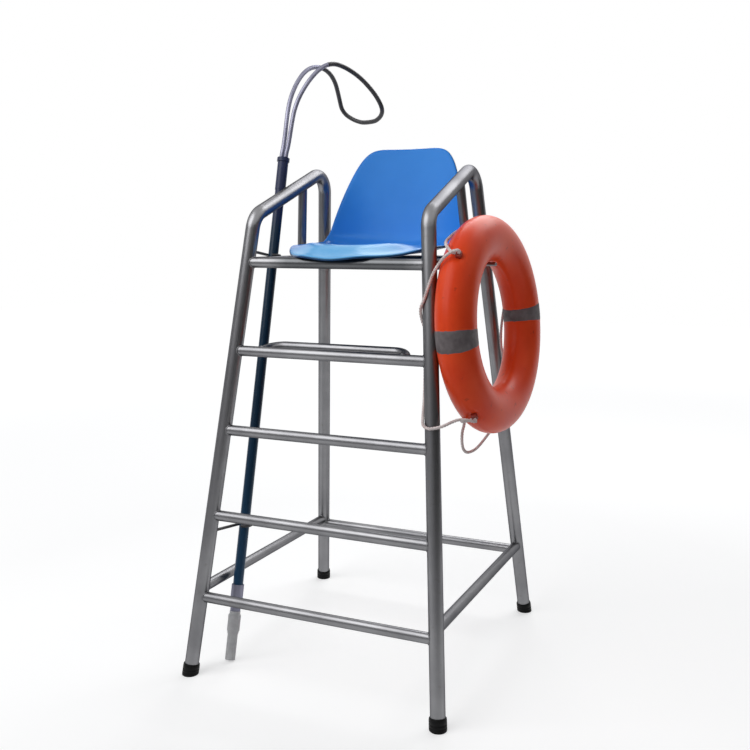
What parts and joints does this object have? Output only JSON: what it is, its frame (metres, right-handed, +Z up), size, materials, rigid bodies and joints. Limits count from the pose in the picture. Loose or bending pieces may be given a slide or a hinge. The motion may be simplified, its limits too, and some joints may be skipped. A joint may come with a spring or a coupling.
{
  "type": "lifeguard chair",
  "caption": "Tall lifeguard chair: splayed tube frame with a front ladder, footrest and armrests, a moulded bucket seat, a ring buoy on its side and a rescue crook.",
  "frame": {"origin": "the middle of the object's outline at floor level, without the ropes", "axes": "+Z is up and the longest extent; the ladder front faces -Y; +X is the side with the ring buoy"},
  "size_m": [1.1002, 1.1227, 2.2539],
  "materials": {
    "steel": "polished stainless tube",
    "rubber": "moulded black",
    "seat": "glossy blue moulding",
    "ring": "orange-red moulded shell",
    "clip": "dark red moulding",
    "tape": "grey reflective tape",
    "rope": "braided rope, pale and weathered",
    "pole": "navy paint",
    "grip": "grey rubber",
    "alloy": "satin",
    "hook": "dark coating"
  },
  "bodies": {
    "root": {"left_front_leg": "steel", "left_armrest": "steel", "left_rear_leg": "steel", "right_front_leg": "steel", "right_armrest": "steel", "right_rear_leg": "steel", "rung_1": "steel", "rung_2": "steel", "rung_3": "steel", "rung_4": "steel", "seat_bar": "steel", "footrest": "steel", "left_lower_rail": "steel", "right_lower_rail": "steel", "rear_lower_rail": "steel", "left_seat_rail": "steel", "right_seat_rail": "steel", "rear_seat_bar": "steel", "seat_cross_bar": "steel", "left_arm_strut": "steel", "right_arm_strut": "steel", "left_front_foot": "rubber", "left_rear_foot": "rubber", "right_front_foot": "rubber", "right_rear_foot": "rubber", "seat_shell": "seat", "ring_body": "ring", "ring_band_front": "tape", "ring_band_rear": "tape", "ring_clip_1": "clip", "ring_clip_2": "clip", "ring_clip_3": "clip", "ring_clip_4": "clip", "rope_front": "rope", "rope_bottom": "rope", "rope_rear": "rope", "rope_top": "rope", "ring_hook": "steel", "pole_tip": "grip", "pole_grip": "grip", "pole_collar": "alloy", "pole_tube": "pole", "pole_sleeve": "pole", "pole_crook": "alloy", "pole_lower_hook": "hook", "pole_upper_hook": "hook"}
  },
  "joints": []
}
